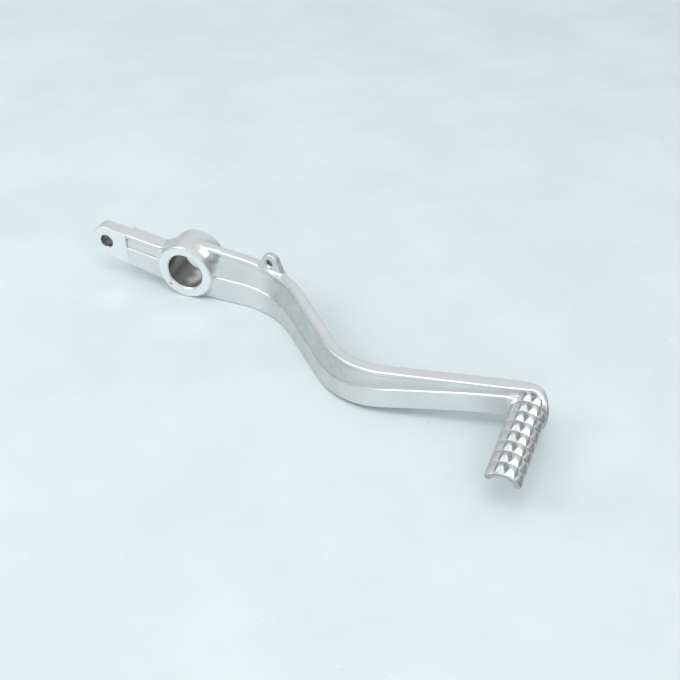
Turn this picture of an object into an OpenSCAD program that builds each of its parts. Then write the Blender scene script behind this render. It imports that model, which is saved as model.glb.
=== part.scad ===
// Rear brake pedal for a motorbike: one forged and polished aluminium piece.
// The pivot bore is at the origin with its axis along Y, the foot tread points
// to -Y (outboard), the arm runs forward along +X and Z is up.
// Millimetres.

/* [Pivot hub] */
// Outer diameter of the pivot hub
hub_d = 27; // [24:0.5:32]
// Length of the hub along the pivot
hub_len = 17; // [14:0.5:24]
// Diameter of the pivot bore
bore_d = 17; // [10:0.5:19]
// Chamfer at both mouths of the bore
bore_chamfer = 0.8; // [0.3:0.1:1.5]
// Rounding of the hub's two rims
hub_rim = 0.9; // [0.4:0.1:1.5]
// Radius of the fillet between the hub and the arm
hub_fillet = 3.5; // [2:0.5:5]

/* [Rear arm and eye] */
// Distance of the eye's hole behind the pivot
eye_reach = 42.3; // [36:0.5:55]
// Height of the eye's hole above the pivot
eye_rise = 5.2; // [0:0.2:9]
// Outer diameter of the eye
eye_d = 15.4; // [13:0.2:18]
// Thickness of the eye between its machined pads
eye_thick = 6.5; // [5:0.1:8]
// Shift of the eye's middle plane from the arm's, outboard
eye_shift = 1.1; // [0:0.1:1.5]
// Diameter of the cutter that faces the pads
pad_d = 17.8; // [16:0.2:20]
// Diameter of the hole for the clevis pin
pin_d = 6; // [4:0.1:8]
// Chamfer at the pin hole
pin_chamfer = 0.5; // [0.2:0.1:1]
// Width of the rear arm's top edge
rear_top_w = 8.4; // [6:0.2:10]
// Height of the rear arm's top edge where it meets the hub
rear_top = 8.2; // [6:0.2:10]
// Depth of the rear arm's lower edge below the pivot at the hub
rear_drop = 9.2; // [7:0.2:11]

/* [Arm path seen from above] */
// Distance of the arm's middle plane outboard of the hub's middle
arm_shift = 1; // [0:0.1:2]
// Straight length from the pivot to the first bend
lead_len = 27; // [22:1:34]
// Centre radius of the first bend
bend_one_r = 46; // [36:1:56]
// Angle by which the arm swings outboard
bend_one_a = 45; // [30:1:50]
// Straight length between the two bends
jog_len = 35; // [20:1:45]
// Centre radius of the second bend
bend_two_r = 30; // [20:1:40]
// Angle by which the arm swings back
bend_two_a = 55; // [40:1:58]
// Straight length from the second bend to the corner
run_len = 56.8; // [40:1:75]
// Outside radius of the corner at the tip
corner_r = 10.5; // [8:0.5:13]

/* [Arm section] */
// Width of the bead along the top edge at the hub
bead_w = 5.2; // [4:0.2:7]
// Width of the bead at the tip
bead_tip_w = 6.0; // [4.4:0.2:7]
// Height of the bead above the recessed web
bead_h = 2.6; // [1.6:0.2:4]
// Width of the recessed web
web_w = 4.2; // [3:0.2:5]
// Width of the thick lower flange
flange_w = 9; // [7:0.2:11]
// Rounding of the long edges
edge_r = 1.1; // [0.5:0.1:1.6]
// Height of the top edge at the hub
top_hub = 13.3; // [12:0.1:14]
// Height of the top edge where the first bend starts
top_bend = 10.9; // [9:0.1:12]
// Height of the top edge in the middle of the jog
top_jog = 8; // [6.5:0.1:9]
// Height of the top edge at the second bend
top_low = 6.3; // [5:0.1:7]
// Height of the top edge at the tip
top_tip = 7.3; // [6:0.1:8.5]
// Height of the lower flange at the hub
flange_h = 12.6; // [10:0.2:14]
// Height of the lower flange at the tip
flange_tip_h = 9.4; // [8:0.2:10.4]
// Height by which the lower edge climbs toward the tip
tip_climb = 7.7; // [5:0.1:9]

/* [Spring ear] */
// Distance of the ear's hole in front of the pivot
ear_x = 41.6; // [36:0.2:46]
// Height of the ear's hole above the pivot
ear_z = 12.8; // [12:0.1:15]
// Radius of the ear's rounded top
ear_r = 4.6; // [4:0.1:6]
// Length of the ear's foot along the arm
ear_foot = 13; // [11:0.5:16]
// Thickness of the ear
ear_t = 3.2; // [2.4:0.1:4]
// Turn of the ear toward the frame side
ear_turn = 8; // [0:1:15]
// Diameter of the hole for the spring hook
hook_d = 2.6; // [2:0.1:3.4]
// Diameter of the countersink at the hook hole
hook_sink_d = 4.6; // [3.4:0.1:5.4]

/* [Tread] */
// Length of the tread outboard of the arm
tread_len = 44.9; // [33:5.9:57]
// Width of the tread
tread_w = 14.2; // [13:0.2:15]
// Height of the tooth points at the crown above the pivot
crown_z = 5.7; // [4.6:0.1:6.2]
// Radius of the arch over the points of the teeth
crown_r = 8.8; // [8:0.1:12]
// Radius of the arch along the bottoms of the grooves
groove_r = 9.6; // [8.8:0.1:14]
// Depth of the grooves at the crown
tooth_h = 1.7; // [1:0.1:2]
// Thickness of the plate under the grooves at the crown
plate_t = 1.4; // [1.1:0.1:2]
// Radius of the hollow under the tread
hollow_r = 4.8; // [4:0.1:5.2]
// Depth of the feet below the crown's points
foot_drop = 6.6; // [6:0.1:7.4]
// Chamfer along the feet's outer edges
foot_cut = 1.1; // [0.6:0.1:1.4]
// Plain rim at the tread's end
end_rim = 0.6; // [0.4:0.1:1.5]
// Radius of the fillet between the arm and the tread's crown
cove_r = 2.2; // [1.5:0.1:2.4]
// Tilt of the tread toward its front foot
tread_tilt = 6; // [0:1:10]
// Spacing of the cross grooves
row_pitch = 5.9; // [4:0.1:7]
// Spacing of the lengthwise grooves over the arch
column_pitch = 3.9; // [3.2:0.1:4.4]
// Flat left on each tooth
tooth_flat = 0.5; // [0.3:0.1:1]
// Radius of the fillet between the arm and the tread's rear side
root_r = 3; // [2:0.5:4]

/* [Hidden] */
$fn = 72;

eps = 0.01;
bend_step = 7;
arc_step = 30;

hub_r = hub_d / 2;
floor_z = -hub_r;
bead_half = bead_w / 2;
web_half = web_w / 2;
flange_half = flange_w / 2;
rear_half = rear_top_w / 2;
corner_mid_r = corner_r - bead_tip_w / 2;
corner_a = 90 + bend_two_a - bend_one_a;

// Distances along the arm's middle line, from the pivot
s_one = lead_len;
s_jog = s_one + bend_one_r * bend_one_a * PI / 180;
s_two = s_jog + jog_len;
s_run = s_two + bend_two_r * bend_two_a * PI / 180;
s_tip = s_run + run_len;
s_end = s_tip + corner_mid_r * corner_a * PI / 180;
s_rise = s_two - 8;

// Plan position and heading after a straight length or a turn
function ahead(p, len) = [p[0] + len * cos(p[2]), p[1] + len * sin(p[2]), p[2]];
function turned(p, r, a) = [
    p[0] + sign(a) * r * (sin(p[2] + a) - sin(p[2])),
    p[1] - sign(a) * r * (cos(p[2] + a) - cos(p[2])),
    p[2] + a
];

p_hub = [0, -arm_shift, 0];
p_one = ahead(p_hub, lead_len);
p_jog = turned(p_one, bend_one_r, -bend_one_a);
p_two = ahead(p_jog, jog_len);
p_run = turned(p_two, bend_two_r, bend_two_a);
p_tip = ahead(p_run, run_len);
p_end = turned(p_tip, corner_mid_r, -corner_a);

// Middle line: plan position and heading at distance s from the pivot
function place(s) =
    s <= s_one ? ahead(p_hub, s) :
    s <= s_jog ? turned(p_one, bend_one_r, -(s - s_one) / bend_one_r * 180 / PI) :
    s <= s_two ? ahead(p_jog, s - s_jog) :
    s <= s_run ? turned(p_two, bend_two_r, (s - s_two) / bend_two_r * 180 / PI) :
    s <= s_tip ? ahead(p_run, s - s_run) :
    turned(p_tip, corner_mid_r, -(s - s_tip) / corner_mid_r * 180 / PI);

function ease(u) = let (t = min(1, max(0, u))) t * t * (3 - 2 * t);

// Heights and half widths of the section along the arm
eye_top = eye_rise + eye_d / 2;
eye_low = eye_rise - eye_d / 2;
function top_z(s) = lookup(s, [
    [-eye_reach, eye_top - 0.2],
    [-hub_r, rear_top],
    [-hub_r / 2, rear_top],
    [hub_r / 4, top_hub],
    [s_one, top_bend],
    [(s_one + s_jog) / 2, (top_bend + top_jog) / 2 - 0.2],
    [(s_jog + s_two) / 2 - 6, top_jog],
    [s_two + 8, top_low + 0.2],
    [s_run, top_low],
    [s_tip, top_tip],
    [(s_tip + s_end) / 2, top_tip - 0.1],
    [s_end - 2, crown_z - 1.2],
    [s_end, crown_z - 3]
]);
function low_z(s) = s < 0
    ? lookup(s, [[-eye_reach, eye_low + 0.2], [-hub_r, -rear_drop], [0, floor_z]])
    : floor_z + tip_climb * ease((s - s_rise) / (s_tip - s_rise))
        + 2.2 * ease((s - s_tip) / (s_end - s_tip));
function ridge_z(s) = min(top_z(s) - bead_h - 1, low_z(s) + lookup(s, [
    [-eye_reach, flange_h - 4.6],
    [-hub_r, flange_h - 1.9],
    [0, flange_h],
    [s_one, flange_h - 0.6],
    [s_jog, (flange_h + flange_tip_h) / 2 - 0.4],
    [s_two, flange_tip_h + 0.5],
    [s_tip, flange_tip_h]
]));
function bead_at(s) = lookup(s, [
    [-hub_r / 2, rear_half],
    [hub_r / 2, bead_half],
    [s_jog, bead_half],
    [s_tip - 8, bead_tip_w / 2],
    [s_tip + 2, bead_tip_w / 2 - 0.3]
]);
function web_at(s) = lookup(s, [
    [-hub_r / 2, rear_half - 0.9],
    [hub_r / 2, web_half],
    [s_tip - 10, web_half],
    [s_tip, bead_tip_w / 2 - 0.4]
]);
function flange_at(s) = lookup(s, [
    [-hub_r, rear_half + 0.4],
    [hub_r, flange_half],
    [s_run, flange_half],
    [s_tip - 3, flange_half - 0.2],
    [s_tip, bead_tip_w / 2 - 0.3]
]);

// Near half of the section from the top's middle down to the lower edge, as [offset, height]
function half_section(b, w, f, zt, zr, zl) = let (
    step_z = zt - bead_h - (b - w) / 2,
    cove_z = min(zr + 2.4, step_z - 0.2)
) concat(
    [[0, zt + 0.2]],
    [for (a = [0 : arc_step : 90])
        [b - edge_r + edge_r * sin(a), zt - edge_r + edge_r * cos(a)]],
    [
        [b, step_z + b - w],
        [w, step_z],
        [w, cove_z],
        [w + (f - w) * 0.25, zr + (cove_z - zr) * 0.38],
        [w + (f - w) * 0.62, zr + (cove_z - zr) * 0.1],
        [f - 0.3, zr],
        [f, zr - 0.5]
    ],
    [for (a = [0 : arc_step : 90])
        [f - edge_r + edge_r * cos(a), zl + edge_r - edge_r * sin(a)]]
);
function mirrored(h) = [for (i = [len(h) - 1 : -1 : 1]) [-h[i][0], h[i][1]]];
function section(s) = let (
    h = half_section(bead_at(s), web_at(s), flange_at(s), top_z(s), ridge_z(s), low_z(s))
) concat(h, mirrored(h));

// The section set up across the middle line, near side to -Y
function set_up(s) = let (p = place(s)) [for (q = section(s)) [
    p[0] + q[0] * sin(p[2]),
    p[1] - q[0] * cos(p[2]),
    q[1]
]];

function steps(a, b, n) = [for (i = [0 : n - 1]) a + (b - a) * i / n];
stations = concat(
    [-eye_reach + 1, -hub_r, -hub_r / 2, hub_r / 4, hub_r / 2, hub_r, 20],
    steps(s_one, s_jog, ceil(bend_one_a / bend_step)),
    steps(s_jog, s_two, 3),
    steps(s_two, s_run, ceil(bend_two_a / bend_step)),
    steps(s_run, s_tip - 10, 4),
    [s_tip - 10, s_tip - 8, s_tip - 3],
    steps(s_tip, s_end - 2, ceil(corner_a / bend_step / 1.6)),
    [s_end - 2, s_end]
);

// Solid skin over a list of rings with equal point counts. Each patch is split along
// its shorter diagonal, or with hips = true along the longer one. Each end is closed
// by a ladder of triangles between the ring's two sides
module skin(rings, hips = false) {
    points = [for (r = rings) for (q = r) q];
    n = len(rings[0]);
    last = (len(rings) - 1) * n;
    sides = [
        for (k = [0 : n : last - n])
        for (i = [0 : n - 1])
        for (t = [0, 1])
            let (
                a = k + i,
                b = k + (i + 1) % n,
                longer = norm(points[a + n] - points[b]) > norm(points[a] - points[b + n])
            )
            longer == hips
                ? (t == 0 ? [a, a + n, b] : [b, a + n, b + n])
                : (t == 0 ? [a, a + n, b + n] : [a, b + n, b])
    ];
    ladder = [
        for (i = [0 : floor(n / 2) - 1])
        for (t = [0, 1])
            let (c = n - i - 1, d = (n - i) % n)
            if (t == 0 ? i + 1 != c : i != d)
                t == 0 ? [i, i + 1, c] : [i, c, d]
    ];
    polyhedron(
        points = points,
        faces = concat(
            ladder,
            sides,
            [for (f = ladder) [last + f[2], last + f[1], last + f[0]]]
        ),
        convexity = 10
    );
}

module blade() {
    skin([for (s = stations) set_up(s)]);
}

// Cylinder along Y with rounded or chamfered rims, from y0 to y1
module barrel(r, y0, y1, rim) {
    translate([0, y0, 0])
        rotate([-90, 0, 0])
            rotate_extrude()
                polygon([
                    [0, 0], [r - rim, 0], [r - rim * 0.4, rim * 0.12],
                    [r - rim * 0.12, rim * 0.4], [r, rim],
                    [r, y1 - y0 - rim], [r - rim * 0.12, y1 - y0 - rim * 0.4],
                    [r - rim * 0.4, y1 - y0 - rim * 0.12], [r - rim, y1 - y0],
                    [0, y1 - y0]
                ]);
}

module pin_y(d, y0, y1) {
    translate([0, y0, 0])
        rotate([-90, 0, 0])
            cylinder(d = d, h = y1 - y0);
}

// Ring of fillet around the hub on one face of the web
module hub_fillet_ring(face, side) {
    reach = hub_fillet;
    scale([1, side, 1])
        translate([0, face - 0.3, 0])
            rotate([-90, 0, 0])
                rotate_extrude()
                    polygon(concat(
                        [[hub_r - 2, 0]],
                        [for (a = [0 : 15 : 90]) [
                            hub_r - 0.2 + reach * (1 - cos(90 - a)),
                            reach * (1 - sin(90 - a))
                        ]],
                        [[hub_r - 2, reach]]
                    ));
}

module eye() {
    translate([-eye_reach, -arm_shift - eye_shift, eye_rise])
        barrel(eye_d / 2, -eye_thick / 2, eye_thick / 2, 0.4);
}

// Stock that the pad cutters take off on both faces of the eye
module eye_facing() {
    translate([-eye_reach, -arm_shift - eye_shift, eye_rise]) {
        pin_y(pad_d, eye_thick / 2, eye_thick / 2 + 6);
        pin_y(pad_d, -eye_thick / 2 - 6, -eye_thick / 2);
    }
}

// Side outline of the front arm near the hub, used to trim the fillet rings
module lead_outline() {
    reach = hub_r + hub_fillet + 1;
    polygon([
        [2, top_z(2) - 0.6],
        [reach, top_z(reach) - 0.6],
        [reach, floor_z + 0.4],
        [2, floor_z + 0.4]
    ]);
}

module hub() {
    barrel(hub_r, -hub_len / 2, hub_len / 2, hub_rim);
    intersection() {
        union() {
            hub_fillet_ring(-arm_shift + web_half, 1);
            hub_fillet_ring(arm_shift + web_half, -1);
        }
        translate([0, hub_len / 2, 0])
            rotate([90, 0, 0])
                linear_extrude(hub_len)
                    lead_outline();
    }
}

module hub_bore() {
    mouth = hub_len / 2;
    pin_y(bore_d, -mouth - 1, mouth + 1);
    for (side = [-1, 1])
        scale([1, side, 1])
            translate([0, mouth - bore_chamfer, 0])
                rotate([-90, 0, 0])
                    cylinder(d1 = bore_d, d2 = bore_d + 2 * (bore_chamfer + 1), h = bore_chamfer + 1);
}

module pin_hole() {
    translate([-eye_reach, -arm_shift - eye_shift, eye_rise]) {
        pin_y(pin_d, -eye_thick, eye_thick);
        for (side = [-1, 1])
            scale([1, side, 1])
                translate([0, eye_thick / 2 - pin_chamfer, 0])
                    rotate([-90, 0, 0])
                        cylinder(d1 = pin_d, d2 = pin_d + 2 * (pin_chamfer + 1), h = pin_chamfer + 1);
    }
}

// The ear stands on the bead where the first bend begins
ear_s = s_one + (ear_x - lead_len) * 1.01;
ear_y = place(ear_s)[1];
ear_root = top_z(ear_s) - 1.5;

module ear_frame() {
    translate([ear_x, ear_y, 0])
        rotate([0, 0, place(ear_s)[2] + ear_turn])
            translate([-ear_x, 0, 0])
                children();
}

// Outline of the ear in X and Z: a foot that flows up into the rounded top
module ear_outline() {
    half = ear_foot / 2;
    root = ear_root;
    polygon(concat(
        [[ear_x + half, root], [ear_x + half, root + 0.8]],
        [for (a = [10 : 10 : 170])
            [ear_x + ear_r * cos(a), ear_z + ear_r * sin(a)]],
        [[ear_x - half, root + 1.4], [ear_x - half, root]]
    ));
}

module ear() {
    ear_frame()
        translate([0, ear_t / 2, 0])
            rotate([90, 0, 0])
                linear_extrude(ear_t)
                    ear_outline();
}

module hook_hole() {
    ear_frame()
        translate([ear_x, 0, ear_z]) {
            pin_y(hook_d, -ear_t, ear_t);
            translate([0, -ear_t / 2 - eps, 0])
                rotate([-90, 0, 0])
                    cylinder(d1 = hook_sink_d, d2 = hook_d, h = (hook_sink_d - hook_d) / 2);
        }
}

// The tread is an arched plate along Y, its front side near the corner's outer face
tread_half = tread_w / 2;
tread_x = p_end[0] + bead_tip_w / 2 - 0.3 - tread_half - 1;
wall_y = p_tip[1] - bead_tip_w / 2 + 0.3;
foot_z = crown_z - foot_drop;
groove_mid_z = crown_z - tooth_h - groove_r;
hollow_mid_z = crown_z - tooth_h - plate_t - hollow_r;
column_a = column_pitch / groove_r * 180 / PI;

// Rows of teeth: the spacing is adjusted so that the last groove meets the end rim
rows = round((tread_len - end_rim) / row_pitch - 0.5);
row_step = (tread_len - end_rim) / (rows + 0.5);

// Height of a tooth above the groove circle where it stands at angle a from the crown
function tooth_at(a) = let (d = crown_z - crown_r - groove_mid_z)
    d * cos(a) + sqrt(crown_r * crown_r - pow(d * sin(a), 2)) - groove_r;

function on_arch(r, a, mid) = [r * sin(a), mid + r * cos(a)];

// Profile of the tread, with teeth when up is 1 and along a cross groove when it is 0.
// The hollow under it runs out when deep is near 0
function tread_profile(up, deep) = let (
    flat_a = tooth_flat / crown_r * 90 / PI,
    open_a = acos((foot_z - hollow_mid_z) / hollow_r)
) concat(
    [[tread_half - foot_cut, foot_z], [tread_half, foot_z + foot_cut]],
    [for (c = [1.5 : -1 : -1.5]) for (side = [1, 0, -1])
        let (a = c * column_a + (side == 1 ? column_a / 2 : 0))
        if (side == 1)
            on_arch(groove_r, a, groove_mid_z)
        else
            on_arch(
                groove_r + up * tooth_at(a),
                a + (side == 0 ? flat_a : -flat_a),
                groove_mid_z
            )
    ],
    [on_arch(groove_r, -2 * column_a, groove_mid_z)],
    [[-tread_half, foot_z + foot_cut], [foot_cut - tread_half, foot_z]],
    [for (i = [-7 : 7])
        let (q = on_arch(hollow_r, i * open_a / 7, hollow_mid_z))
        [q[0], foot_z + (q[1] - foot_z) * deep]
    ]
);

// The profile set up at distance d outboard of the wall
function tread_ring(d, up, deep) = [
    for (q = tread_profile(up, deep)) [q[0], wall_y - d, q[1]]
];

module tread_frame() {
    translate([tread_x, 0, 0])
        rotate([0, tread_tilt, 0])
            children();
}

module tread() {
    half_flat = tooth_flat / 2;
    tread_frame()
        skin(concat(
            [
                tread_ring(-3, 0, 0.1),
                tread_ring(half_flat, 1, 0.1),
                tread_ring(row_step / 2, 0, 0.1)
            ],
            [for (k = [1 : rows]) for (t = [-1, 0, 1])
                t == -1 ? tread_ring(k * row_step - half_flat, 1, 1) :
                t == 0 ? tread_ring(k * row_step + half_flat, 1, 1) :
                tread_ring((k + 0.5) * row_step, 0, 1)
            ],
            [tread_ring(tread_len, 0, 1)]
        ), hips = true);
}

// Concave corner between the wall of the arm and the crown of the tread
module cove() {
    tread_frame()
        skin([
            for (a = [-15 : 15 : 75])
                let (
                    d = a < 0 ? -0.8 : cove_r * sin(a),
                    r = groove_r + cove_r * (1 - cos(a < 0 ? 90 : 90 - a)),
                    reach_a = asin((tread_half - 0.2) / r)
                )
                concat(
                    [for (i = [3.5 : -1 : -3.5])
                        let (q = on_arch(r, i * reach_a / 3.5, groove_mid_z))
                        [q[0], wall_y - d, q[1]]],
                    [for (i = [-2.5 : 2.5])
                        let (q = on_arch(groove_r - 0.8, i * reach_a / 3, groove_mid_z))
                        [q[0], wall_y - d, q[1]]]
                )
        ]);
}

// Concave corner in plan between the arm's near face and the tread's rear side
module root_fillet() {
    side = tread_x - tread_half;
    face = wall_y - flange_half + bead_tip_w / 2 + 0.5;
    translate([0, 0, foot_z + 0.6])
        linear_extrude(crown_z - 2.1 - foot_z)
            polygon(concat(
                [[side + 1, face + 1], [side - root_r, face + 1]],
                [for (a = [0 : 18 : 90]) [
                    side - root_r + root_r * sin(a),
                    face - root_r + root_r * cos(a)
                ]],
                [[side + 1, face - root_r]]
            ));
}

module brake_pedal() {
    color([0.8, 0.81, 0.82])
        difference() {
            union() {
                difference() {
                    blade();
                    eye_facing();
                }
                tread();
                cove();
                root_fillet();
                hub();
                eye();
                ear();
            }
            hub_bore();
            pin_hole();
            hook_hole();
        }
}

brake_pedal();
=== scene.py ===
import math

import bpy
import numpy as np
from mathutils import Matrix


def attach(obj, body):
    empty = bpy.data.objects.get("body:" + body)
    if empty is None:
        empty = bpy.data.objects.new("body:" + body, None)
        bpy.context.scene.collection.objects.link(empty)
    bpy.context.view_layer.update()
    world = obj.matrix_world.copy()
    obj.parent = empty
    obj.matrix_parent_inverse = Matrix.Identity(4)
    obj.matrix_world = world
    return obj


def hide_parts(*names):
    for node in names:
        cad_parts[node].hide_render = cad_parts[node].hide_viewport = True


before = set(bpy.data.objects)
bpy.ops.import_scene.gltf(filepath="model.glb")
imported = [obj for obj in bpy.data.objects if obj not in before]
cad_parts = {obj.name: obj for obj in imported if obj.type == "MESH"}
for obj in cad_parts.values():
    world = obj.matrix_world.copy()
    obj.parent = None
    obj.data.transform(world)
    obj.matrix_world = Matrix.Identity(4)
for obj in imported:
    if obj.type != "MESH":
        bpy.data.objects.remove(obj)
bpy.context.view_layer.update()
print("stage: frame loaded")

mm = 0.001
sharp = 0.05  # radius of a join that stays sharp

# The pedal is one closed surface of a distance field. Its sizes are in millimetres and in
# the frame's axes: x forward, y along the pivot bore to the motorbike, z up.
hubSizes = {
    "r": 13.5, "half": 8.5, "rim": 1.0,
    "boreR": 8.5, "chamfer": 0.8, "boreEdge": 0.2,
    "fillet": 4.2, "lowFillet": 2.8, "topFillet": 2.2,  # to the front arm: middle, foot, top
    "lowSpan": (-4, 4), "topSpan": (7, 12), "frontSpan": (2, 5.5),  # z, z and x where it changes
    "frontStart": 1.0, "frontEnd": 24.0, "offFloor": 0.4,
    "crest": 0.8, "crestGap": 0.02,  # how that fillet ends under the arm's top
    "rearFillet": 4.0, "crease": 0.8,  # to the rear arm: on top, elsewhere
    "rearSpan": (-1.5, -5.5), "rearTop": (0, 3), "rearWidth": (4.8, 3.4),
    "gusset": 7.2, "gussetEnd": 1.8, "gussetCore": 1.2,  # half widths, from hub to bead
    "gussetSpan": (10, 17.5), "gussetStart": 1.5, "gussetStop": 17.0,
    "gussetKnee": 12.0, "gussetFall": 1.9, "gussetSlope": 0.6, "gussetJoin": 0.5,
    "nick": (-7.9, -9.0, -8.3, 1.15), "nickEdge": 0.2,  # dent in the rim: x, y, z, radius
}
eyeSizes = {
    "x": -42.3, "y": -2.1, "z": 5.2, "r": 7.7, "half": 3.25,
    "padEnd": -31.6, "padEdge": 0.45, "stepEdge": 0.25,
    "lowAtHub": -10.7,  # height that the plate's lower edge would reach at the hub
    "pinR": 3.0, "chamfer": 0.5, "pinEdge": 0.15,
}
treadSizes = {
    "length": 44.9, "half": 7.1, "tilt": 6.0, "inset": 1.0, "sunk": 0.3,
    "crownZ": 5.7, "crownR": 8.8, "grooveR": 9.6, "toothH": 1.7,
    "row": 5.9, "column": 3.9, "rowFlat": 1.5, "columnFlat": 1.4,
    "toothRound": 0.3, "tipRound": 0.35, "endRim": 0.6,
    "toothSlope": 0.7,  # keeps the field's slope near 1 on the teeth
    "wear": 0.4, "wearSpan": (0.9, 1.2),  # share of height that the left teeth have lost
    "plate": 1.4, "hollowR": 4.5, "hollowSpan": (2.5, 6.0), "hollowLeast": 0.04,
    "footDrop": 6.6, "footCut": 1.1, "footEdge": 0.6, "hollowEdge": 0.35, "endEdge": 0.5,
    "cove": 1.0, "leftCove": 3.4, "coveSpan": (3.5, 6.5),  # fillets to the arm
    "cornerCut": 3.0, "cornerLeft": 0.2, "cornerSpan": (3, 6),  # where the tread starts in the arm
}

# The arm's middle line in plan: straight, bend, straight, bend, straight, corner
pathSizes = {"shift": 1.0, "lead": 27.0, "r1": 46.0, "a1": 45.0, "jog": 35.0,
             "r2": 30.0, "a2": 55.0, "run": 56.8, "cornerR": 7.5}


def armPath():
    p = pathSizes
    parts = []
    x, y, heading, s = 0.0, -p["shift"], 0.0, 0.0
    for kind, size, turn in (
        ("line", p["lead"], 0), ("arc", p["r1"], -p["a1"]), ("line", p["jog"], 0),
        ("arc", p["r2"], p["a2"]), ("line", p["run"], 0),
        ("arc", p["cornerR"], -(90 + p["a2"] - p["a1"])), ("line", 0.0, 0),
    ):
        a = math.radians(turn)
        parts.append((kind, x, y, heading, size, a, s))
        if kind == "line":
            x += size * math.cos(heading)
            y += size * math.sin(heading)
            s += size
        else:
            sign = 1 if a > 0 else -1
            x += sign * size * (math.sin(heading + a) - math.sin(heading))
            y -= sign * size * (math.cos(heading + a) - math.cos(heading))
            heading += a
            s += size * abs(a)
    return parts


pathParts = armPath()
sOne, sJog, sTwo, sRun, sTip, sEnd = [part[6] for part in pathParts[1:]]
sStart = eyeSizes["x"] + 1.0


# Distance along the path, offset to its right, and how far the point is past its ends
def alongPath(x, y):
    best = np.full(x.shape, 1e9, np.float32)
    s = np.zeros_like(best)
    q = np.zeros_like(best)
    over = np.zeros_like(best)
    for i, (kind, px, py, heading, size, turn, s0) in enumerate(pathParts):
        c, n = math.cos(heading), math.sin(heading)
        past = 0.0
        if kind == "line":
            dx, dy = x - px, y - py
            low = sStart if i == 0 else 0.0
            t = dx * c + dy * n
            tc = np.clip(t, low, size)
            off = dx * n - dy * c
            dist = np.hypot(t - tc, off)
            si = s0 + tc
            if i == 0:
                past = np.maximum(low - t, 0)
            elif i == len(pathParts) - 1:
                past = np.abs(t - tc)
        else:
            sign = 1 if turn > 0 else -1
            cx, cy = px - sign * size * n, py + sign * size * c
            a0 = math.atan2(py - cy, px - cx)
            vx, vy = x - cx, y - cy
            phi = sign * (np.arctan2(vy, vx) - a0)
            phi = (phi + math.pi) % (2 * math.pi) - math.pi
            pc = np.clip(phi, 0, abs(turn))
            off = (np.hypot(vx, vy) - size) * sign
            fx = cx + size * np.cos(a0 + sign * pc)
            fy = cy + size * np.sin(a0 + sign * pc)
            dist = np.hypot(x - fx, y - fy)
            si = s0 + size * pc
        near = dist < best - 1e-4
        best = np.where(near, dist, best)
        s = np.where(near, si, s)
        q = np.where(near, off, q)
        over = np.where(near, past, over)
    return s, q, over


def ease(t):
    t = np.clip(t, 0, 1)
    return t * t * (3 - 2 * t)


# 0 at the first value and 1 at the second, with soft ends
def fade(value, start, stop):
    return ease((value - start) / (stop - start))


tableStep = 0.5
tableS = np.arange(-60.0, sEnd + 12.0, tableStep)


# Values along the arm from (distance, value) keys, their corners rounded over the blur
def profile(keys, blur):
    raw = np.interp(tableS, [k[0] for k in keys], [k[1] for k in keys])
    reach = int(blur * 3 / tableStep)
    w = np.exp(-0.5 * (np.arange(-reach, reach + 1) * tableStep / blur) ** 2)
    return np.convolve(np.pad(raw, reach, mode="edge"), w / w.sum(), "valid")


# The arm's section: a bead on top, a recessed web, and a thick flange below. Half widths.
armSizes = {
    "bead": 2.6, "beadTip": 3.0, "beadH": 2.6, "beadEdge": 1.15, "beadFall": 0.2, "beadJoin": 0.6,
    "web": 2.1, "webInset": 0.7, "webJoin": 0.3, "webSlope": 0.92, "flange": 4.5, "rear": 4.2,
    "thinStep": 0.02, "leastStep": 0.1,  # steps that never close up quite
    "edge": 1.1, "ridgeEdge": 0.5, "sweep": 1.3, "steep": 0.33,  # how the web swells to the ridge
    "lean": 0.6, "leanLength": 5.0, "floorZ": -13.5, "climb": 7.7, "tipClimb": 2.2,
}
hubR, rearHalf = hubSizes["r"], armSizes["rear"]
eyeTop, eyeLow = eyeSizes["z"] + eyeSizes["r"], eyeSizes["z"] - eyeSizes["r"]
crown = treadSizes["crownZ"]

topTable = profile([
    (eyeSizes["x"], eyeTop - 0.2), (-hubR, 8.2), (-hubR / 2, 8.2), (hubR / 4, 13.3),
    (sOne, 10.9), ((sOne + sJog) / 2, 9.25), ((sJog + sTwo) / 2 - 6, 8.0), (sTwo + 8, 6.5),
    (sRun, 6.3), (sTip, 7.3), ((sTip + sEnd) / 2, 7.1), (sEnd - 5.5, crown - 0.6),
    (sEnd - 1, crown - 5)], 1.1)
rearLow = np.interp(tableS, [eyeSizes["x"], -hubR, 0], [eyeLow + 0.2, -9.2, armSizes["floorZ"]])
lowTable = np.where(
    tableS < 0, rearLow,
    armSizes["floorZ"] + armSizes["climb"] * fade(tableS, sTwo - 8, sTip)
    + armSizes["tipClimb"] * fade(tableS, sTip, sEnd))
ridgeRise = np.interp(tableS, [eyeSizes["x"], -hubR, 0, sOne, sJog, sTwo, sTip],
                      [8.0, 10.7, 12.6, 12.0, 10.6, 9.9, 9.4])
ridgeTable = np.minimum(topTable - armSizes["beadH"] - 1.0, lowTable + ridgeRise)
beadTable = profile([
    (-hubR / 2, rearHalf), (hubR / 2, armSizes["bead"]), (sJog, armSizes["bead"]),
    (sTip - 8, armSizes["beadTip"]), (sTip + 2, 2.7), (sTip + 5, 2.1), (sEnd, 1.6)], 1.2)
beadHTable = profile([
    (-hubR / 2, 2.4), (sTwo, 2.3), (sTip - 12, 1.6), (sTip, 1.7), (sEnd, 2.6)], 1.5)
webTable = profile([
    (-hubR / 2, rearHalf - 0.9), (hubR / 2, armSizes["web"]), (sTip - 10, armSizes["web"]),
    (sTip, 2.6), (sTip + 5, 2.0), (sEnd, 1.6)], 1.2)
ledgeTable = profile([
    (-hubR, 1.0), (hubR, 0.7), (sOne + 14, 0.6), (sOne + 26, 0.12), (sTwo + 18, 0.12),
    (sTwo + 32, 0.6), (sTip, 0.6)], 2.0)
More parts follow.
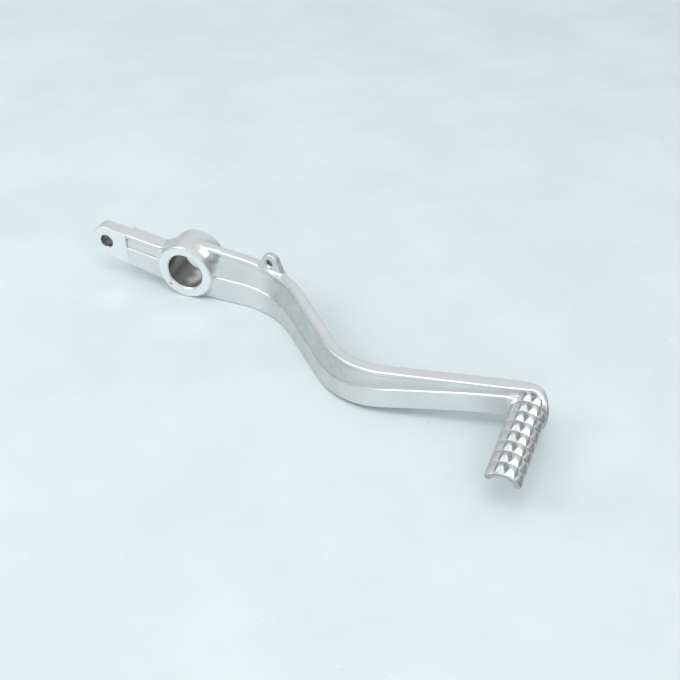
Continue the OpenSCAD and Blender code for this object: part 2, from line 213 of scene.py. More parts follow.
flangeTable = profile([
    (-hubR, rearHalf + 0.4), (hubR, armSizes["flange"]), (sRun, armSizes["flange"]),
    (sTip - 3, 4.3), (sTip, 2.7), (sTip + 5, 2.1), (sEnd, 1.6)], 1.0)


def roundBox(u, v, hu, hv, r):
    du = np.abs(u) - (hu - r)
    dv = np.abs(v) - (hv - r)
    return np.hypot(np.maximum(du, 0), np.maximum(dv, 0)) + np.minimum(np.maximum(du, dv), 0) - r


# Union with a fillet of radius r
def joinRound(a, b, r):
    return np.maximum(r, np.minimum(a, b)) - np.hypot(np.maximum(r - a, 0), np.maximum(r - b, 0))


# Intersection with edges rounded to radius r
def meetRound(a, b, r):
    return -joinRound(-a, -b, r)


def softMin(a, b, k):
    return np.minimum(a, b) - np.maximum(k - np.abs(a - b), 0) ** 2 / (4 * k)


# Top height of the arm, the bead with the web, and the flange with the web
def armField(x, y, z):
    size = armSizes
    s, q, over = alongPath(x, y)
    top, low, ridge, bead, web, flange, ledge = [np.interp(s, tableS, table) for table in (
        topTable, lowTable, ridgeTable, beadTable, webTable, flangeTable, ledgeTable)]
    beadHalf = np.interp(s, tableS, beadHTable) / 2
    under = top - 2 * beadHalf
    a = np.abs(q + size["lean"] * fade(s, sTip, sTip + size["leanLength"]))
    beadMiddle = top - beadHalf + size["beadFall"] * (1 - a / bead)
    beadEdge = np.minimum(beadHalf - size["thinStep"], size["beadEdge"])
    beadBox = roundBox(a, z - beadMiddle, bead, beadHalf, beadEdge)
    middle = (ridge + low) / 2
    edge = np.where(z > middle, size["ridgeEdge"], size["edge"])
    flangeBox = roundBox(a, z - middle, flange, (ridge - low) / 2, edge)
    # The web's side leaves a ledge on the ridge and sweeps in to the bead
    ledge = np.minimum(ledge, np.maximum(flange - web, size["thinStep"]))
    rise = np.clip((z - ridge) / (under - ridge), 0, 1)
    web = np.maximum(web, flange - ledge - size["steep"] * (under - ridge))
    web = np.minimum(web, bead - size["leastStep"])
    wide = web + (flange - ledge - web) * (1 - rise) ** size["sweep"]
    tall = np.abs(z - (top + low) / 2) - (top - low) / 2 + size["webInset"]
    webBox = np.maximum((a - wide) * size["webSlope"], tall)
    parts = (joinRound(webBox, beadBox, np.clip(bead - web, sharp, size["beadJoin"])),
             joinRound(webBox, flangeBox, size["webJoin"]))
    upper, lower = [np.where(over > 0, np.hypot(np.maximum(d, 0), over), d) for d in parts]
    return top, upper, lower


# The spring's ear on the first bend
earSizes = {
    "x": 41.6, "z": 12.8, "r": 4.6, "lean": 0.6, "half": 1.6, "turn": 8.0, "edge": 0.6,
    "foot": 6.5, "rightFoot": 0.8, "leftFoot": 1.4, "shoulder": 0.8, "root": 1.5, "fillet": 1.1,
    "alongBend": 1.01, "taper": 0.985,  # length on the bend per x, and width at the shoulder
    "hookR": 1.3, "sink": 0.6, "sinkMost": 1.2, "holeEdge": 0.2,
}


def withEar(x, y, z, blade):
    e = earSizes
    s = sOne + (e["x"] - sOne) * e["alongBend"]
    bend = (s - sOne) / pathSizes["r1"]
    earY = -pathSizes["shift"] - pathSizes["r1"] * (1 - math.cos(bend))
    heading = -bend + math.radians(e["turn"])
    c, n = math.cos(heading), math.sin(heading)
    u = (x - e["x"]) * c + (y - earY) * n
    v = -(x - e["x"]) * n + (y - earY) * c
    root = float(np.interp(s, tableS, topTable)) - e["root"]
    sides = []
    for side, foot in ((1, root + e["rightFoot"]), (-1, root + e["leftFoot"])):
        x0, z0 = e["foot"], foot
        x1, z1 = e["r"] * e["taper"], e["z"] + e["shoulder"]
        length = math.hypot(x1 - x0, z1 - z0)
        nx, nz = (z1 - z0) / length, (x0 - x1) / length
        sides.append((side * (u - e["lean"]) - x0) * nx + (z - z0) * nz)
    flank = np.maximum(sides[0], sides[1])
    cap = np.hypot(u - e["lean"], z - e["z"]) - e["r"]
    outline = np.where(z > e["z"], np.maximum(cap, flank), flank)
    outline = np.maximum(outline, root - z)
    ear = meetRound(outline, np.abs(v) - e["half"], e["edge"])
    sink = np.clip(-e["sink"] - v, 0, e["sinkMost"])
    hole = np.hypot(u, z - e["z"]) - (e["hookR"] + sink)
    return meetRound(joinRound(blade, ear, e["fillet"]), -hole, e["holeEdge"])


# Across, up and out from the arm in the tread's own tilted frame
def treadPlace(x, y, z):
    t = treadSizes
    wallX = pathParts[-1][1] + armSizes["beadTip"] - t["sunk"]
    wallY = pathParts[5][2] - armSizes["beadTip"] + t["sunk"]
    x0 = wallX - t["half"] - t["inset"]
    a = math.radians(t["tilt"])
    u = math.cos(a) * (x - x0) - math.sin(a) * z
    w = math.sin(a) * (x - x0) + math.cos(a) * z
    return u, w, wallY - y


def withTread(x, y, z, blade):
    t = treadSizes
    u, w, out = treadPlace(x, y, z)
    foot = crown - t["footDrop"]
    grooveTop = crown - t["toothH"]
    mid = grooveTop - t["grooveR"]
    rho = np.hypot(u, w - mid)
    phi = np.arctan2(u, w - mid)
    # Teeth between crossing V grooves, with a small flat on each
    rows = round((t["length"] - t["endRim"]) / t["row"] - 0.5)
    step = (t["length"] - t["endRim"]) / (rows + 0.5)
    k = np.clip(np.round(out / step), 0, rows)
    rise = (step / 2 - np.abs(out - k * step)) / (step / 2 - t["rowFlat"] / 2)
    columnA = t["column"] / t["grooveR"]
    c = np.clip(np.floor(phi / columnA) + 0.5, -1.5, 1.5)
    flatA = t["columnFlat"] / t["crownR"] / 2
    across = (columnA / 2 - np.abs(phi - c * columnA)) / (columnA / 2 - flatA)
    lift = crown - t["crownR"] - mid
    crownRho = lift * np.cos(phi) + np.sqrt(
        np.maximum(t["crownR"] ** 2 - (lift * np.sin(phi)) ** 2, 1))
    worn = 1 - t["wear"] * fade(-phi / columnA, *t["wearSpan"])
    tooth = softMin(softMin(rise, across, t["toothRound"]), 1.0, t["tipRound"])
    h = np.clip(tooth, 0, 1) * (crownRho - t["grooveR"]) * worn
    # Arched underside, open at the end and closed at the arm
    deep = t["hollowLeast"] + (1 - t["hollowLeast"]) * fade(out, *t["hollowSpan"])
    hollowMid = grooveTop - t["plate"] - t["hollowR"]
    hollow = t["hollowR"] - np.hypot(u, foot + (w - foot) / deep - hollowMid)
    hollow = hollow * np.clip(deep, 0.3, 1)
    side = np.abs(u) - t["half"]
    cut = (side + foot - w + t["footCut"]) * math.sqrt(0.5)
    started = (t["cornerCut"] - t["cornerLeft"]) * fade(u, *t["cornerSpan"])
    corner = started - t["cornerCut"] - out
    solids = []
    for top in ((rho - t["grooveR"] - h) * t["toothSlope"], rho - t["grooveR"]):
        d = np.maximum(top, side)
        d = meetRound(d, np.maximum(foot - w, cut), t["footEdge"])
        d = meetRound(d, hollow, t["hollowEdge"])
        d = meetRound(d, out - t["length"], t["endEdge"])
        solids.append(np.maximum(d, corner))
    toothed, plain = solids
    cove = t["cove"] + (t["leftCove"] - t["cove"]) * fade(-u, *t["coveSpan"])
    return np.minimum(joinRound(blade, plain, cove), toothed)


# The metal that carries the bead onto the hub
def gussetField(x, y, z, top):
    g = hubSizes
    across = np.abs(y + pathSizes["shift"])
    reach = g["gusset"] + (g["gussetEnd"] - g["gusset"]) * fade(x, *g["gussetSpan"])
    knee = g["gussetKnee"]
    steep = np.sqrt(np.maximum(hubR ** 2 - np.minimum(x, knee) ** 2, 0))
    steep = steep - g["gussetFall"] * np.maximum(x - knee, 0)
    roof = steep + np.maximum(top - steep, 0) * (1 - fade(across, g["gussetCore"], reach))
    ends = np.maximum(g["gussetStart"] - x, x - g["gussetStop"])
    block = np.maximum(np.maximum(across - reach, -z), ends)
    return np.maximum((z - roof) * g["gussetSlope"], block)


# The hub, filleted to both arms
def withHub(x, y, z, top, arm, blade):
    g = hubSizes
    hub = roundBox(np.hypot(x, z), y, hubR, g["half"], g["rim"])
    r = g["lowFillet"] + (g["fillet"] - g["lowFillet"]) * fade(z, *g["lowSpan"])
    r = r - (g["fillet"] - g["topFillet"]) * fade(z, *g["topSpan"])
    ahead = g["frontStart"] / 2 - x
    front = joinRound(hub, np.maximum(arm, ahead), sharp + r * fade(x, *g["frontSpan"]))
    limit = np.maximum(armSizes["floorZ"] + g["offFloor"] - z, x - g["frontEnd"])
    limit = np.maximum(limit, g["frontStart"] - x)
    front = meetRound(np.maximum(front, limit), z - top + g["crestGap"], g["crest"])
    onTop = fade(np.abs(y + pathSizes["shift"]), *g["rearWidth"]) * fade(z, *g["rearTop"])
    r = g["crease"] + (g["rearFillet"] - g["crease"]) * onTop
    rear = joinRound(hub, np.maximum(blade, x), sharp + r * fade(x, *g["rearSpan"]))
    return np.minimum(np.minimum(blade, front), rear)


# The whole pedal, negative inside
def pedalField(p):
    x, y, z = p[:, 0], p[:, 1], p[:, 2]
    e, g = eyeSizes, hubSizes
    eyeRho = np.hypot(x - e["x"], z - e["z"])
    eyeSide = np.abs(y - e["y"]) - e["half"]
    top, upper, lower = armField(x, y, z)
    beside = np.maximum(x - e["padEnd"], -eyeSide)  # the space beside the eye's plate
    upper = np.maximum(upper, -beside)
    lower = meetRound(lower, -beside, e["stepEdge"])
    arm = np.minimum(upper, lower)
    blade = withTread(x, y, z, withEar(x, y, z, arm))
    blade = joinRound(blade, gussetField(x, y, z, top), g["gussetJoin"])
    d = withHub(x, y, z, top, arm, blade)
    plateLow = np.interp(x, [e["x"], 0], [eyeLow, e["lowAtHub"]])
    plate = np.maximum(np.maximum(z - top, plateLow - z), np.maximum(x - e["padEnd"], e["x"] - x))
    d = np.minimum(d, meetRound(np.minimum(eyeRho - e["r"], plate), eyeSide, e["padEdge"]))
    bore = np.hypot(x, z) - (g["boreR"] + np.clip(np.abs(y) - g["half"] + g["chamfer"], 0, 2))
    d = meetRound(d, -bore, g["boreEdge"])
    nickX, nickY, nickZ, nickR = g["nick"]
    nick = nickR - np.sqrt((x - nickX) ** 2 + (y - nickY) ** 2 + (z - nickZ) ** 2)
    d = meetRound(d, nick, g["nickEdge"])
    pin = eyeRho - (e["pinR"] + np.clip(eyeSide + e["chamfer"], 0, 2))
    d = meetRound(d, -pin, e["pinEdge"])
    return np.maximum(d, armSizes["floorZ"] - z)


# The mesh: cell is its fineness, low and high bound the space that is sampled in blocks,
# and passes and stride say how its points are moved onto the surface
netSizes = {"cell": 0.36, "low": (-51.5, -87.5, -14.6),
            "high": (180.5, 10.5, 19.0), "block": 4, "slack": 1.3, "chunk": 6000,
            "passes": 3, "stride": 0.6}


# The field on a grid, in full only in blocks near the surface
def sampleField():
    low, high, cell, block = [netSizes[key] for key in ("low", "high", "cell", "block")]
    counts = [int((high[i] - low[i]) / cell) + 2 for i in range(3)]
    coarse = [int(math.ceil(n / block)) for n in counts]
    axes = [low[i] + (np.arange(coarse[i]) * block + (block - 1) / 2) * cell for i in range(3)]
    grid = np.stack(np.meshgrid(*axes, indexing="ij"), -1).reshape(-1, 3).astype(np.float32)
    rough = pedalField(grid).reshape(coarse)
    near = np.abs(rough) < block * cell * 0.87 + netSizes["slack"]  # 0.87 is half a diagonal
    values = rough.astype(np.float32)
    for axis in range(3):
        values = np.repeat(values, block, axis)
    cells = np.argwhere(near)
    local = np.stack(np.meshgrid(*[np.arange(block)] * 3, indexing="ij"), -1).reshape(-1, 3)
    for start in range(0, len(cells), netSizes["chunk"]):
        part = cells[start:start + netSizes["chunk"], None, :]
        idx = (part * block + local[None]).reshape(-1, 3)
        pts = (idx * cell + np.array(low)).astype(np.float32)
        values[idx[:, 0], idx[:, 1], idx[:, 2]] = pedalField(pts)
    return values


# Quads through the cells that the surface crosses
def surfaceNet(values):
    shape = np.array(values.shape)
    inside = values < 0
    quads, cellIds, cellPos = [], [], []
    for axis in range(3):
        step = np.zeros(3, int)
        step[axis] = 1
        a = tuple(slice(0, shape[i] - step[i]) for i in range(3))
        b = tuple(slice(step[i], shape[i]) for i in range(3))
        idx = np.argwhere(inside[a] != inside[b])
        u, v = [(1, 2), (2, 0), (0, 1)][axis]
        ok = (idx[:, u] > 0) & (idx[:, v] > 0)
        ok = ok & (idx[:, u] < shape[u] - 1) & (idx[:, v] < shape[v] - 1)
        idx = idx[ok]
        nxt = idx + step
        d0 = values[idx[:, 0], idx[:, 1], idx[:, 2]]
        d1 = values[nxt[:, 0], nxt[:, 1], nxt[:, 2]]
        pos = idx + step * (d0 / (d0 - d1))[:, None]
        eu, ev = np.zeros(3, int), np.zeros(3, int)
        eu[u], ev[v] = 1, 1
        corners = []
        for off in (-eu - ev, -ev, np.zeros(3, int), -eu):
            c = idx + off
            flat = (c[:, 0] * shape[1] + c[:, 1]) * shape[2] + c[:, 2]
            corners.append(flat)
            cellIds.append(flat)
            cellPos.append(pos)
        quad = np.stack(corners, 1)
        quad[d0 > 0] = quad[d0 > 0][:, ::-1]
        quads.append(quad)
    pos = np.concatenate(cellPos)
    used, inverse = np.unique(np.concatenate(cellIds), return_inverse=True)
    count = np.bincount(inverse)
    verts = np.stack([np.bincount(inverse, pos[:, i]) / count for i in range(3)], 1)
    faces = np.searchsorted(used, np.concatenate(quads))
    return verts * netSizes["cell"] + np.array(netSizes["low"]), faces


def gradient(p, e=0.04):
    g = np.zeros_like(p)
    for i in range(3):
        o = np.zeros(3)
        o[i] = e
        g[:, i] = (pedalField(p + o) - pedalField(p - o)) / (2 * e)
    return g


# Moves the points onto the surface and returns them with their normals
def settled(p):
    for _ in range(netSizes["passes"]):
        g = gradient(p)
        d = pedalField(p)
        step = -d[:, None] * g / np.maximum((g * g).sum(1), 0.05)[:, None]
        size = np.linalg.norm(step, axis=1)
        longest = netSizes["stride"] * netSizes["cell"]
        step *= np.minimum(1, longest / np.maximum(size, 1e-9))[:, None]
        p = p + step
    g = gradient(p)
    return p, g / np.maximum(np.linalg.norm(g, axis=1), 1e-9)[:, None]


# How the surface curves over the reach: above 0 on ridges, below 0 in hollows
def bending(p, reach):
    total = np.zeros(len(p))
    for i in range(3):
        o = np.zeros(3)
        o[i] = reach
        total += pedalField(p + o) + pedalField(p - o)
    return total / reach


# Where each painted shade, painted highlight and machined finish lies: strengths, and the spans in
# millimetres over which it comes in
shadeAndFinishMarks = {
    # painted shade and dark reflections on the tread's flanks, end and underside
    "right": 0.75, "rightSpan": (3.7, 4.5),  # the tread's flanks
    "left": 0.75, "leftSpan": (0, 0.8), "leftLess": 0.2, "leftLessSpan": (3.7, 4.5),
    "endSpan": (-0.35, -0.05), "underSpan": (0.6, 0), "outSpan": (0.5, 2.5),
    "sideSpan": (-7.9, -7.3),
    "bends": 0.6, "bendFrom": (8, 22), "bendTo": (26, 8), "nearSpan": (1, 2.2),  # the S-bend
    # painted shadow lines along the ridge and under the bead, with the face below the ridge a
    # little less dark
    "lowLess": 0.18, "lowSpan": (0, 0.5), "shadowLines": 0.3, "shadowLineWidth": 0.45,
    # the ear painted darker above the arm's top
    "ear": 0.4, "earZ": (10.4, 11), "earX": (7.5, 7),
    # painted shade in the holes: where it starts on the walls, and the bore's darker rear side
    # with its wavy edge
    "bore": (0.25, 0.05), "pin": (0.35, 0.15), "shade": (1.2, -3.5), "shadeWave": (0.8, 0.9),
    "ring": (-0.4, -0.7), "pad": (0, -0.3), "facedDepth": (-0.12, -0.02),
    "curveReach": 0.9,  # how far around a point its bend is measured
}


# The holes' walls, painted darker as shade inside the holes, and which of them get the darkest
# painted shade
def holeMasks(p):
    m = shadeAndFinishMarks
    x, y, z = p.T
    hole = fade(np.hypot(x, z) - hubSizes["boreR"], *m["bore"])
    wave, pitch = m["shadeWave"]
    dark = fade(x - wave * np.sin(pitch * y), *m["shade"])
    for place, r in ((eyeSizes, eyeSizes["pinR"]), (earSizes, earSizes["hookR"])):
        near = fade(np.hypot(x - place["x"], z - place["z"]) - r, *m["pin"])
        hole = np.maximum(hole, near)
        dark = np.maximum(dark, near)
    return hole, dark


# Painted shade: a darker tone on the tread's flanks, end and underside (painted shadow and dark
# reflections), on the S-bend's near face with painted shadow lines at its ridge and under its
# bead, and on the ear
def paintedShadeMask(p):
    m = shadeAndFinishMarks
    x, y, z = p.T
    u, w, out = treadPlace(x, y, z)
    right = m["right"] * fade(u, *m["rightSpan"])
    left = m["left"] * fade(-u, *m["leftSpan"]) - m["leftLess"] * fade(-u, *m["leftLessSpan"])
    end = fade(out - treadSizes["length"], *m["endSpan"])
    under = fade(w, *m["underSpan"])
    inside = fade(out, *m["outSpan"]) * fade(u, *m["sideSpan"])
    tread = inside * np.maximum(np.maximum(right, left), np.maximum(end, under))
    # Painted shade on the S-bend's near face, with painted shadow lines at the ridge and under the
    # bead
    s, q, _ = alongPath(x, y)
    ridge = np.interp(s, tableS, ridgeTable)
    beadLow = np.interp(s, tableS, topTable) - np.interp(s, tableS, beadHTable)
    tone = m["bends"] - m["lowLess"] * fade(ridge - z, *m["lowSpan"])
    for height in (ridge, beadLow):
        tone = tone + m["shadowLines"] * np.exp(-((z - height) / m["shadowLineWidth"]) ** 2)
    bends = tone * fade(s - sOne, *m["bendFrom"]) * fade(s - sTwo, *m["bendTo"])
    bends = bends * fade(q, *m["nearSpan"])
    ear = m["ear"] * fade(z, *m["earZ"]) * fade(np.abs(x - earSizes["x"]), *m["earX"])
    return np.maximum(tread, np.maximum(bends * (1 - inside), ear))


# The hub's and the eye's machined faces
def facedMask(p):
    x, y, z = p.T
    m, g, e = shadeAndFinishMarks, hubSizes, eyeSizes
    onHub = fade(np.abs(y) - g["half"], *m["facedDepth"])
    onEye = fade(np.abs(y - e["y"]) - e["half"], *m["facedDepth"])
    ring = onHub * fade(np.hypot(x, z) - hubR, *m["ring"])
    pad = onEye * fade(x - e["padEnd"], *m["pad"])
    return np.maximum(ring, pad)


def meshObject(name, verts, faces, normals, masks, material):
    used, inverse = np.unique(faces, return_inverse=True)
    faces = inverse.reshape(-1, 4)
    verts, normals = verts[used], normals[used]
    mesh = bpy.data.meshes.new(name)
    mesh.vertices.add(len(verts))
    mesh.vertices.foreach_set("co", (verts * mm).astype(np.float32).ravel())
    mesh.loops.add(faces.size)
    mesh.loops.foreach_set("vertex_index", faces.astype(np.int32).ravel())
    mesh.polygons.add(len(faces))
    mesh.polygons.foreach_set("loop_start", np.arange(0, faces.size, 4, dtype=np.int32))
    mesh.update(calc_edges=True)
    mesh.validate()
    mesh.polygons.foreach_set("use_smooth", np.ones(len(mesh.polygons), bool))
    if len(mesh.vertices) == len(normals):
        mesh.normals_split_custom_set_from_vertices(normals.astype(np.float32))
        for key, value in masks.items():
            layer = mesh.attributes.new(key, "FLOAT", "POINT")
            layer.data.foreach_set("value", value[used].astype(np.float32))
    obj = bpy.data.objects.new(name, mesh)
    bpy.context.scene.collection.objects.link(obj)
    mesh.materials.append(material)
    return obj


# Short calls for building a node tree
class Nodes:
    def __init__(self, tree):
        self.tree = tree
        tree.nodes.clear()

    def add(self, kind, inputs=None, **props):
        node = self.tree.nodes.new(kind)
        for key, value in props.items():
            setattr(node, key, value)
        for key, value in (inputs or {}).items():
            if isinstance(value, bpy.types.NodeSocket):
                self.tree.links.new(value, node.inputs[key])
            else:
                node.inputs[key].default_value = value
        return node

    def math(self, op, a, b=0.0):
        return self.add("ShaderNodeMath", {0: a, 1: b}, operation=op).outputs[0]

    def noise(self, place, scale, detail, rough=0.5):
        return self.add("ShaderNodeTexNoise", {"Vector": place, "Scale": scale, "Detail": detail,
                                               "Roughness": rough}).outputs[0]

    def ramp(self, value, low, high, to0=0.0, to1=1.0):
        return self.add("ShaderNodeMapRange", {0: value, 1: low, 2: high, 3: to0, 4: to1},
                        interpolation_type="SMOOTHSTEP").outputs[0]

    def mix(self, t, a, b):
        return self.add("ShaderNodeMix", {0: t, 6: a, 7: b}, data_type="RGBA").outputs[2]

    def mask(self, name):
        return self.add("ShaderNodeAttribute", attribute_name=name).outputs["Fac"]


metalLook = {
    "base": (0.82, 0.825, 0.825, 1), "cloudy": (0.765, 0.775, 0.775, 1),
    # the dark tone for hollows and creases is painted shade, the light tone for ridges and edges a
    # painted highlight
    "creaseShade": (0.28, 0.29, 0.30, 1), "edgeHighlight": (0.93, 0.93, 0.93, 1),
    # the machined faces' own lighter tone, and the dark tone that is painted shade and dark
    # reflections
    "faced": (0.95, 0.965, 0.965, 1), "raw": (0.40, 0.41, 0.41, 1),
    # painted shade inside the holes, darkest on the bore's rear side and in the small holes
    "bore": (0.62, 0.61, 0.60, 1), "boreShade": (0.22, 0.22, 0.215, 1),
    "cloudScale": 60.0, "fineScale": 900.0, "speckleScale": 420.0, "ringPitch": 16000.0,
    "lineScale": (60, 900, 1400), "lineTurn": (0, 0, 0.3),  # draw lines along the arm
    "cloudSpan": (0.35, 0.7), "edgeHighlightSpan": (0.3, 1.4), "hollowSpan": (-0.5, -1.5),
    "speckleSpan": (0.4, 0.62), "creaseShadeShare": 0.6, "edgeHighlightShare": 0.5, "facedShare": 0.9,
    "paintedShadeShare": 0.68, "paintedShadeSpeckle": 0.24,
    "roughLow": 0.3, "roughHigh": 0.4, "roughSpan": (0.3, 0.75), "roughFine": 0.05,
    "wornPolish": 0.06, "dullRough": 0.1,
    "relief": 0.05, "reliefDepth": 0.00012, "ringRelief": 0.25,
}


def polishedForging():
    look = metalLook
    mat = bpy.data.materials.new("polishedForging")
    mat.use_nodes = True
    n = Nodes(mat.node_tree)
    place = n.add("ShaderNodeTexCoord").outputs["Object"]
    cloud = n.noise(place, look["cloudScale"], 5.0, 0.6)
    fine = n.noise(place, look["fineScale"], 4.0, 0.65)
    turned = n.add("ShaderNodeMapping", {"Vector": place, "Rotation": look["lineTurn"],
                                         "Scale": look["lineScale"]}).outputs[0]
    lines = n.noise(turned, 1.0, 3.0)
    # Turning marks on the machined faces
    x, _, z = n.add("ShaderNodeSeparateXYZ", {0: place}).outputs
    rho = n.math("SQRT", n.math("ADD", n.math("MULTIPLY", x, x), n.math("MULTIPLY", z, z)))
    rings = n.math("SINE", n.math("MULTIPLY", rho, look["ringPitch"]))
    faced, inHole, bend, dark, raw = [n.mask(name) for name in (
        "faced", "hole", "bend", "dark", "raw")]
    # Painted highlight on ridges and edges and painted shade in hollows and creases, both from the
    # surface's bend
    worn = n.ramp(bend, *look["edgeHighlightSpan"])
    hollow = n.ramp(bend, *look["hollowSpan"])
    tone = n.mix(n.ramp(cloud, *look["cloudSpan"]), look["base"], look["cloudy"])
    tone = n.mix(n.math("MULTIPLY", hollow, look["creaseShadeShare"]), tone, look["creaseShade"])
    tone = n.mix(n.math("MULTIPLY", worn, look["edgeHighlightShare"]), tone, look["edgeHighlight"])
    tone = n.mix(n.math("MULTIPLY", faced, look["facedShare"]), tone, look["faced"])
    speckle = n.ramp(n.noise(place, look["speckleScale"], 3.0), *look["speckleSpan"])
    paintedShadeShare = n.math("ADD", look["paintedShadeShare"], n.math("MULTIPLY", speckle, look["paintedShadeSpeckle"]))
    # Painted shade and dark reflections on the tread, the S-bend and the ear, mottled by the
    # speckle
    tone = n.mix(n.math("MULTIPLY", raw, paintedShadeShare), tone, look["raw"])
    # Painted shade inside the holes, darkest on the bore's rear side and in the small holes
    tone = n.mix(inHole, tone, n.mix(dark, look["bore"], look["boreShade"]))
    rough = n.ramp(cloud, *look["roughSpan"], look["roughLow"], look["roughHigh"])
    grain = n.math("MULTIPLY", n.math("SUBTRACT", fine, 0.5), look["roughFine"])
    rough = n.math("ADD", rough, grain)
    rough = n.math("SUBTRACT", rough, n.math("MULTIPLY", worn, look["wornPolish"]))
    dull = n.math("MULTIPLY", n.math("ADD", raw, faced), look["dullRough"])
    rough = n.math("ADD", rough, dull)
    height = n.math("ADD", n.math("MULTIPLY", fine, 0.5), n.math("MULTIPLY", lines, 0.5))
    marks = n.math("MULTIPLY", n.math("MULTIPLY", rings, faced), look["ringRelief"])
    bump = n.add("ShaderNodeBump", {"Height": n.math("ADD", height, marks),
                                    "Strength": look["relief"], "Distance": look["reliefDepth"]})
    shader = n.add("ShaderNodeBsdfPrincipled", {"Base Color": tone, "Roughness": rough,
                                                "Metallic": 1.0, "Normal": bump.outputs[0]})
    n.add("ShaderNodeOutputMaterial", {0: shader.outputs[0]})
    return mat


# The three pieces are cut from one surface at these x, with the whole surface's normals
pieceSpans = {"pivotEnd": (-99, 24), "armRun": (24, 140), "treadEnd": (140, 999)}

metal = polishedForging()
values = sampleField()
print("stage: field sampled", values.shape)
verts, faces = surfaceNet(values)
verts, normals = settled(verts)
# Masks for the material: the bend gives painted highlights on ridges and painted shade in hollows,
# the holes get painted shade, the tread, S-bend and ear painted shade, and the machined faces
# their own tone
hole, dark = holeMasks(verts)
masks = {"bend": bending(verts, shadeAndFinishMarks["curveReach"]), "hole": hole, "dark": dark,
         "raw": paintedShadeMask(verts), "faced": facedMask(verts)}
print("stage: surface", len(verts), len(faces))
middleX = verts[faces].mean(1)[:, 0]
for name, (x0, x1) in pieceSpans.items():
    own = faces[(middleX >= x0) & (middleX < x1)]
    part = meshObject(name, verts, own, normals, masks, metal)
    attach(part, "root")
    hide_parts("brake_pedal")
    print("stage: piece", name, len(part.data.polygons))
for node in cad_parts.values():
    node.data.materials.clear()
    node.data.materials.append(metal)

tableLook = {
    "low": (0.695, 0.775, 0.78, 1), "high": (0.75, 0.825, 0.83, 1),
    "speck": (0.35, 0.38, 0.38, 1), "causticLight": (0.85, 0.92, 0.925, 1),
    "cloudScale": 14.0, "cloudSpan": (0.35, 0.65), "rough": 0.55,
    "speckScale": 380.0, "speckSpan": (0.72, 0.76), "speckShare": 0.25,
    # painted pools of light that the metal's flat faces cast on the table: their tone, places,
    # radii and patchiness
    "causticSpots": (((-0.113, 0.007, 0), 0.017), ((-0.070, 0.002, 0), 0.021)),  # place and radius
    "causticSpan": (0.35, 0.6), "causticLeast": 0.25, "causticMost": 0.6,
    "size": 6.0, "middle": (0.08, -0.03),
}


def tableTop():
    look = tableLook
    mat = bpy.data.materials.new("tableTop")
    mat.use_nodes = True
    n = Nodes(mat.node_tree)
    place = n.add("ShaderNodeTexCoord").outputs["Object"]
    cloud = n.noise(place, look["cloudScale"], 6.0, 0.6)
    speck = n.noise(place, look["speckScale"], 2.0)
    tone = n.mix(n.ramp(cloud, *look["cloudSpan"]), look["low"], look["high"])
    specks = n.ramp(speck, *look["speckSpan"], 0.0, look["speckShare"])
    tone = n.mix(specks, tone, look["speck"])
    # Painted pools of light that the metal's flat faces cast on the table
    causticPatches = n.ramp(cloud, *look["causticSpan"], look["causticLeast"], look["causticMost"])
    for spot, size in look["causticSpots"]:
        away = n.add("ShaderNodeVectorMath", {0: place, 1: spot},
                     operation="DISTANCE").outputs["Value"]
        tone = n.mix(n.math("MULTIPLY", n.ramp(away, size, 0.002), causticPatches), tone, look["causticLight"])
    shader = n.add("ShaderNodeBsdfPrincipled", {"Base Color": tone, "Roughness": look["rough"]})
    n.add("ShaderNodeOutputMaterial", {0: shader.outputs[0]})
    return mat


bpy.ops.mesh.primitive_plane_add(size=tableLook["size"],
                                 location=(*tableLook["middle"], armSizes["floorZ"] * mm))
table = bpy.context.object
table.name = "tablePlane"
table.data.materials.append(tableTop())
print("stage: table")

# Soft boxes, in metres and watts
softBoxes = {
    "softTop": {"at": (0.12, -0.30, 1.0), "aim": (0.06, -0.03, 0), "size": (0.62, 0.55),
                "power": 2.1},
    "softRight": {"at": (0.68, -0.50, 0.60), "aim": (0.1, -0.03, 0), "size": (0.35, 0.35),
                  "power": 0.9},
    "softLeft": {"at": (-0.55, -0.42, 0.70), "aim": (0.04, -0.03, 0), "size": (0.38, 0.38),
                 "power": 1.7},
}


def placed(right, up, back, at):
    return Matrix([[right[i], up[i], back[i], at[i]] for i in range(3)] + [[0, 0, 0, 1]])


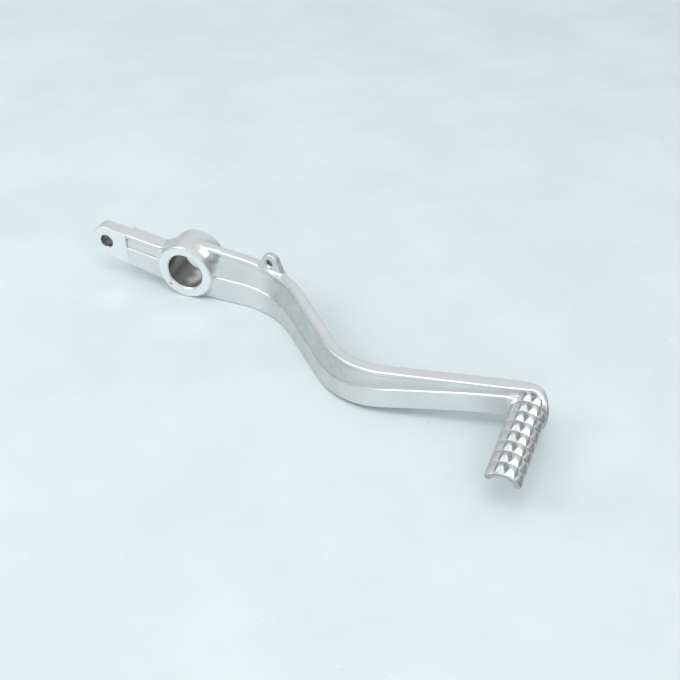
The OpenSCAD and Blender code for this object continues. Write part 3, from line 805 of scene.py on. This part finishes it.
for name, box in softBoxes.items():
    lamp = bpy.data.lights.new(name, "AREA")
    lamp.energy = box["power"]
    lamp.shape = "RECTANGLE"
    lamp.size, lamp.size_y = box["size"]
    obj = bpy.data.objects.new(name, lamp)
    bpy.context.scene.collection.objects.link(obj)
    at = np.array(box["at"])
    back = at - np.array(box["aim"])
    back /= np.linalg.norm(back)
    right = np.cross((0, 0, 1), back)
    right /= np.linalg.norm(right)
    obj.matrix_world = placed(right, np.cross(back, right), back, at)

# The room that the metal reflects: pale above, greyer at the horizon, dark to the right
roomLook = {"horizon": (0.42, 0.44, 0.445, 1), "above": (0.90, 0.95, 0.955, 1),
            "rightSide": (0.31, 0.32, 0.325, 1), "strength": 0.85, "riseSpan": (-0.1, 0.4),
            "rightSpan": (0.2, 0.85), "rightBelow": (0.75, 0.35)}
world = bpy.data.worlds.new("room")
bpy.context.scene.world = world
world.use_nodes = True
n = Nodes(world.node_tree)
direction = n.add("ShaderNodeTexCoord").outputs["Generated"]
sideways, _, upward = n.add("ShaderNodeSeparateXYZ", {0: direction}).outputs
sky = n.mix(n.ramp(upward, *roomLook["riseSpan"]), roomLook["horizon"], roomLook["above"])
toRight = n.math("MULTIPLY", n.ramp(sideways, *roomLook["rightSpan"]),
                 n.ramp(upward, *roomLook["rightBelow"]))
sky = n.mix(toRight, sky, roomLook["rightSide"])
room = n.add("ShaderNodeBackground", {"Color": sky, "Strength": roomLook["strength"]})
n.add("ShaderNodeOutputWorld", {0: room.outputs[0]})
print("stage: light")

# The camera at the photograph's angle: place in millimetres, angles in degrees
cameraPose = {"at": (214.467, -357.321, 276.326), "azimuth": 21.511, "elevation": 38.058,
              "lens": 56.168, "sensor": 36}
azimuth, elevation = math.radians(cameraPose["azimuth"]), math.radians(cameraPose["elevation"])
back = (math.sin(azimuth) * math.cos(elevation), -math.cos(azimuth) * math.cos(elevation),
        math.sin(elevation))
right = (math.cos(azimuth), math.sin(azimuth), 0)
camData = bpy.data.cameras.new("photoCamera")
camData.lens = cameraPose["lens"]
camData.sensor_width = cameraPose["sensor"]
camera = bpy.data.objects.new("photoCamera", camData)
scene = bpy.context.scene
scene.collection.objects.link(camera)
camera.matrix_world = placed(right, np.cross(back, right), back,
                             [value * mm for value in cameraPose["at"]])
scene.camera = camera
scene.view_settings.view_transform = "Standard"
